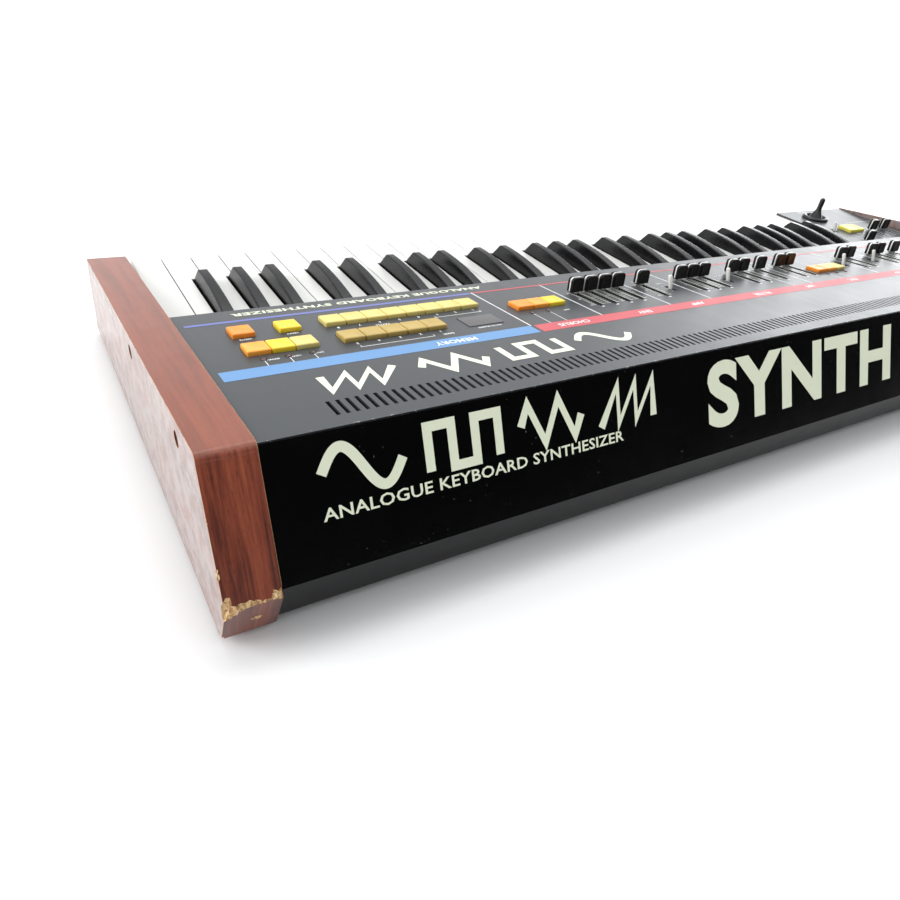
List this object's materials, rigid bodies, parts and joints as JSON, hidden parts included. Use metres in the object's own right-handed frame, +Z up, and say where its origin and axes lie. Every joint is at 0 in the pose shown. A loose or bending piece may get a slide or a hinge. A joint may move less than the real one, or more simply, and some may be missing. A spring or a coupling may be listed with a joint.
{
  "type": "keyboard synthesizer",
  "caption": "Polyphonic keyboard synthesizer with sloping slider panel, leaning black rear panel, wooden end cheeks, sprung keys and bender.",
  "frame": {"origin": "on the surface the instrument stands on, under the middle of its outline", "axes": "+X to the player's right, +Y to the rear, +Z up"},
  "size_m": [1.06, 0.378, 0.1068],
  "materials": {
    "rosewood": "reddish-brown rosewood veneer, satin lacquer, worn edges",
    "charcoal_enamel": "satin charcoal enamel with screen-printed lines",
    "gloss_black_enamel": "gloss black enamel",
    "chassis_enamel": "satin dark grey enamel",
    "zinc_steel": "zinc-plated folded steel",
    "board": "green circuit board",
    "core_steel": "varnished laminations",
    "slider_metal": "pressed steel",
    "socket_metal": "nickel plate",
    "black_rubber": "matt black rubber",
    "red_lens": "dark red lens",
    "lamp_red": "red lamp",
    "screw_black": "blackened steel",
    "white_key": "glossy white plastic",
    "black_key": "satin black plastic",
    "cap_black": "black plastic with a white index line",
    "lever_black": "soft black plastic",
    "button_cream": "cream plastic",
    "button_tan": "tan plastic",
    "button_orange": "orange plastic",
    "button_yellow": "yellow plastic",
    "switch_white": "white plastic",
    "switch_black": "black plastic"
  },
  "bodies": {
    "casing": {"top_panel": "charcoal_enamel", "rear_panel": "gloss_black_enamel", "bottom_chassis": "chassis_enamel", "right_cheek": "rosewood", "left_cheek": "rosewood", "bender_panel": "charcoal_enamel", "keybed_frame": "zinc_steel", "front_rail": "chassis_enamel", "contact_board": "board", "panel_board": "board", "main_board": "board", "transformer": "core_steel", "slider_bodies": "slider_metal", "rear_sockets": "socket_metal", "cord_gland": "black_rubber", "display_window": "red_lens", "led_lamps": "lamp_red", "feet": "black_rubber", "cheek_screws": "screw_black"},
    "bender_lever": {"bender_lever": "lever_black"},
    "trigger_button": {"trigger_button": "button_yellow"},
    "patch_buttons": {"patch_buttons": "button_cream"},
    "bank_buttons": {"bank_buttons": "button_tan"},
    "memory_buttons": {"memory_buttons": "button_orange"},
    "chorus_buttons": {"chorus_buttons": "button_orange"},
    "voice_buttons": {"voice_buttons": "button_orange"},
    "power_switch": {"power_switch": "switch_black"},
    "panel_switches": {"panel_switches": "switch_white"},
    "bender_switch": {"bender_switch": "switch_white"},
    "left_slider_caps": {"left_slider_caps": "cap_black"},
    "c_keys": {"c_keys": "white_key"},
    "c_sharp_keys": {"c_sharp_keys": "black_key"},
    "d_keys": {"d_keys": "white_key"},
    "d_sharp_keys": {"d_sharp_keys": "black_key"},
    "e_keys": {"e_keys": "white_key"},
    "f_keys": {"f_keys": "white_key"},
    "f_sharp_keys": {"f_sharp_keys": "black_key"},
    "g_keys": {"g_keys": "white_key"},
    "g_sharp_keys": {"g_sharp_keys": "black_key"},
    "a_keys": {"a_keys": "white_key"},
    "a_sharp_keys": {"a_sharp_keys": "black_key"},
    "b_keys": {"b_keys": "white_key"},
    "cutoff_cap": {"cutoff_cap": "cap_black"},
    "resonance_cap": {"resonance_cap": "cap_black"},
    "level_cap": {"level_cap": "cap_black"},
    "attack_cap": {"attack_cap": "cap_black"},
    "release_cap": {"release_cap": "cap_black"},
    "decay_cap": {"decay_cap": "cap_black"},
    "sustain_cap": {"sustain_cap": "cap_black"},
    "filter_envelope_cap": {"filter_envelope_cap": "cap_black"},
    "filter_lfo_cap": {"filter_lfo_cap": "cap_black"},
    "key_follow_cap": {"key_follow_cap": "cap_black"},
    "high_pass_cap": {"high_pass_cap": "cap_black"},
    "vibrato_cap": {"vibrato_cap": "cap_black"},
    "pulse_width_cap": {"pulse_width_cap": "cap_black"},
    "sub_level_cap": {"sub_level_cap": "cap_black"},
    "noise_level_cap": {"noise_level_cap": "cap_black"},
    "lfo_rate_cap": {"lfo_rate_cap": "cap_black"},
    "lfo_delay_cap": {"lfo_delay_cap": "cap_black"},
    "arpeggio_rate_cap": {"arpeggio_rate_cap": "cap_black"}
  },
  "joints": [
    {"name": "bender_lever_tilt", "type": "hinge", "parent": "casing", "child": "bender_lever", "pos_m": [-0.395, -0.148, 0.063], "axis": [0, 1, 0], "range_deg": [-25, 25], "stiffness_Nm_per_rad": 0.25},
    {"name": "trigger_button_press", "type": "slide", "parent": "casing", "child": "trigger_button", "axis": [0, 0, -1], "range_m": [0, 0.002], "stiffness_N_per_m": 500, "springref_m": -0.001},
    {"name": "patch_buttons_press", "type": "slide", "parent": "casing", "child": "patch_buttons", "axis": [0, 0.1108, -0.9938], "range_m": [0, 0.0015], "stiffness_N_per_m": 700, "springref_m": -0.001},
    {"name": "bank_buttons_press", "type": "slide", "parent": "casing", "child": "bank_buttons", "axis": [0, 0.1108, -0.9938], "range_m": [0, 0.0015], "stiffness_N_per_m": 700, "springref_m": -0.001},
    {"name": "memory_buttons_press", "type": "slide", "parent": "casing", "child": "memory_buttons", "axis": [0, 0.1108, -0.9938], "range_m": [0, 0.0015], "stiffness_N_per_m": 700, "springref_m": -0.001},
    {"name": "chorus_buttons_press", "type": "slide", "parent": "casing", "child": "chorus_buttons", "axis": [0, 0.1108, -0.9938], "range_m": [0, 0.0015], "stiffness_N_per_m": 700, "springref_m": -0.001},
    {"name": "voice_buttons_press", "type": "slide", "parent": "casing", "child": "voice_buttons", "axis": [0, 0.1108, -0.9938], "range_m": [0, 0.0015], "stiffness_N_per_m": 700, "springref_m": -0.001},
    {"name": "power_switch_press", "type": "slide", "parent": "casing", "child": "power_switch", "axis": [0, -0.8918, -0.4524], "range_m": [0, 0.002]},
    {"name": "panel_switches_tilt", "type": "hinge", "parent": "casing", "child": "panel_switches", "pos_m": [0, 0.03622, 0.08972], "axis": [1, 0, 0], "range_deg": [-32, 0]},
    {"name": "bender_switch_tilt", "type": "hinge", "parent": "casing", "child": "bender_switch", "pos_m": [-0.373, -0.101, 0.0666], "axis": [1, 0, 0], "range_deg": [-32, 0]},
    {"name": "left_slider_caps_slide", "type": "slide", "parent": "casing", "child": "left_slider_caps", "axis": [0, 1, 0], "range_m": [0, 0.022]},
    {"name": "c_keys_press", "type": "hinge", "parent": "casing", "child": "c_keys", "pos_m": [0.0775, 0.02, 0.056], "axis": [1, 0, 0], "range_deg": [0, 2.9], "stiffness_Nm_per_rad": 4, "springref_deg": -20.05},
    {"name": "c_sharp_keys_press", "type": "hinge", "parent": "casing", "child": "c_sharp_keys", "pos_m": [0.0775, 0.02, 0.056], "axis": [1, 0, 0], "range_deg": [0, 2.9], "stiffness_Nm_per_rad": 4, "springref_deg": -20.05},
    {"name": "d_keys_press", "type": "hinge", "parent": "casing", "child": "d_keys", "pos_m": [0.0775, 0.02, 0.056], "axis": [1, 0, 0], "range_deg": [0, 2.9], "stiffness_Nm_per_rad": 4, "springref_deg": -20.05},
    {"name": "d_sharp_keys_press", "type": "hinge", "parent": "casing", "child": "d_sharp_keys", "pos_m": [0.0775, 0.02, 0.056], "axis": [1, 0, 0], "range_deg": [0, 2.9], "stiffness_Nm_per_rad": 4, "springref_deg": -20.05},
    {"name": "e_keys_press", "type": "hinge", "parent": "casing", "child": "e_keys", "pos_m": [0.0775, 0.02, 0.056], "axis": [1, 0, 0], "range_deg": [0, 2.9], "stiffness_Nm_per_rad": 4, "springref_deg": -20.05},
    {"name": "f_keys_press", "type": "hinge", "parent": "casing", "child": "f_keys", "pos_m": [0.0775, 0.02, 0.056], "axis": [1, 0, 0], "range_deg": [0, 2.9], "stiffness_Nm_per_rad": 4, "springref_deg": -20.05},
    {"name": "f_sharp_keys_press", "type": "hinge", "parent": "casing", "child": "f_sharp_keys", "pos_m": [0.0775, 0.02, 0.056], "axis": [1, 0, 0], "range_deg": [0, 2.9], "stiffness_Nm_per_rad": 4, "springref_deg": -20.05},
    {"name": "g_keys_press", "type": "hinge", "parent": "casing", "child": "g_keys", "pos_m": [0.0775, 0.02, 0.056], "axis": [1, 0, 0], "range_deg": [0, 2.9], "stiffness_Nm_per_rad": 4, "springref_deg": -20.05},
    {"name": "g_sharp_keys_press", "type": "hinge", "parent": "casing", "child": "g_sharp_keys", "pos_m": [0.0775, 0.02, 0.056], "axis": [1, 0, 0], "range_deg": [0, 2.9], "stiffness_Nm_per_rad": 4, "springref_deg": -20.05},
    {"name": "a_keys_press", "type": "hinge", "parent": "casing", "child": "a_keys", "pos_m": [0.0775, 0.02, 0.056], "axis": [1, 0, 0], "range_deg": [0, 2.9], "stiffness_Nm_per_rad": 4, "springref_deg": -20.05},
    {"name": "a_sharp_keys_press", "type": "hinge", "parent": "casing", "child": "a_sharp_keys", "pos_m": [0.0775, 0.02, 0.056], "axis": [1, 0, 0], "range_deg": [0, 2.9], "stiffness_Nm_per_rad": 4, "springref_deg": -20.05},
    {"name": "b_keys_press", "type": "hinge", "parent": "casing", "child": "b_keys", "pos_m": [0.0775, 0.02, 0.056], "axis": [1, 0, 0], "range_deg": [0, 2.9], "stiffness_Nm_per_rad": 4, "springref_deg": -20.05},
    {"name": "cutoff_cap_slide", "type": "slide", "parent": "casing", "child": "cutoff_cap", "axis": [0, 0.9938, 0.1108], "range_m": [0, 0.03]},
    {"name": "resonance_cap_slide", "type": "slide", "parent": "casing", "child": "resonance_cap", "axis": [0, 0.9938, 0.1108], "range_m": [0, 0.03]},
    {"name": "level_cap_slide", "type": "slide", "parent": "casing", "child": "level_cap", "axis": [0, 0.9938, 0.1108], "range_m": [0, 0.03]},
    {"name": "attack_cap_slide", "type": "slide", "parent": "casing", "child": "attack_cap", "axis": [0, 0.9938, 0.1108], "range_m": [0, 0.03]},
    {"name": "release_cap_slide", "type": "slide", "parent": "casing", "child": "release_cap", "axis": [0, 0.9938, 0.1108], "range_m": [0, 0.03]},
    {"name": "decay_cap_slide", "type": "slide", "parent": "casing", "child": "decay_cap", "axis": [0, 0.9938, 0.1108], "range_m": [0, 0.03]},
    {"name": "sustain_cap_slide", "type": "slide", "parent": "casing", "child": "sustain_cap", "axis": [0, 0.9938, 0.1108], "range_m": [0, 0.03]},
    {"name": "filter_envelope_cap_slide", "type": "slide", "parent": "casing", "child": "filter_envelope_cap", "axis": [0, 0.9938, 0.1108], "range_m": [0, 0.03]},
    {"name": "filter_lfo_cap_slide", "type": "slide", "parent": "casing", "child": "filter_lfo_cap", "axis": [0, 0.9938, 0.1108], "range_m": [0, 0.03]},
    {"name": "key_follow_cap_slide", "type": "slide", "parent": "casing", "child": "key_follow_cap", "axis": [0, 0.9938, 0.1108], "range_m": [0, 0.03]},
    {"name": "high_pass_cap_slide", "type": "slide", "parent": "casing", "child": "high_pass_cap", "axis": [0, 0.9938, 0.1108], "range_m": [0, 0.03]},
    {"name": "vibrato_cap_slide", "type": "slide", "parent": "casing", "child": "vibrato_cap", "axis": [0, 0.9938, 0.1108], "range_m": [0, 0.03]},
    {"name": "pulse_width_cap_slide", "type": "slide", "parent": "casing", "child": "pulse_width_cap", "axis": [0, 0.9938, 0.1108], "range_m": [0, 0.03]},
    {"name": "sub_level_cap_slide", "type": "slide", "parent": "casing", "child": "sub_level_cap", "axis": [0, 0.9938, 0.1108], "range_m": [0, 0.03]},
    {"name": "noise_level_cap_slide", "type": "slide", "parent": "casing", "child": "noise_level_cap", "axis": [0, 0.9938, 0.1108], "range_m": [0, 0.03]},
    {"name": "lfo_rate_cap_slide", "type": "slide", "parent": "casing", "child": "lfo_rate_cap", "axis": [0, 0.9938, 0.1108], "range_m": [0, 0.03]},
    {"name": "lfo_delay_cap_slide", "type": "slide", "parent": "casing", "child": "lfo_delay_cap", "axis": [0, 0.9938, 0.1108], "range_m": [0, 0.03]},
    {"name": "arpeggio_rate_cap_slide", "type": "slide", "parent": "casing", "child": "arpeggio_rate_cap", "axis": [0, 0.9938, 0.1108], "range_m": [0, 0.03]}
  ]
}
